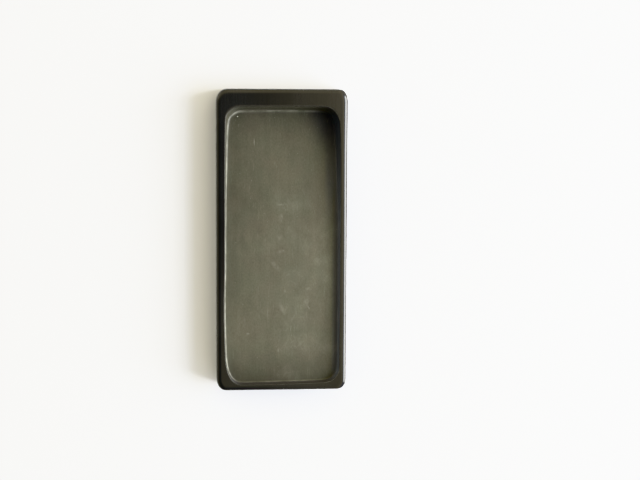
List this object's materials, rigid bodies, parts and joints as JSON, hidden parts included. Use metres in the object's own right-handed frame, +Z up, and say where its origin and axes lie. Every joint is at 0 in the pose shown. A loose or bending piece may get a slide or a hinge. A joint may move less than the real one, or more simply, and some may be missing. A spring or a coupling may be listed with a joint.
{
  "type": "inkstone",
  "caption": "Long rectangular slate inkstone with a shallow grinding slope that runs into a deeper ink pool, lacquered rim and sides, for grinding and holding ink.",
  "frame": {"origin": "under the middle of the stone, on the surface it rests on", "axes": "+Z up, +Y along the stone towards the deep end of the well, +X across it"},
  "size_m": [0.061, 0.141, 0.017],
  "materials": {
    "bare_slate": "honed grey-olive slate, matt, with fine grain along its length",
    "dark_lacquer": "near-black lacquer, satin, rubbed a little thinner along the edges"
  },
  "bodies": {
    "root": {"stone_body": "bare_slate", "lacquer_coat": "dark_lacquer"}
  },
  "joints": []
}
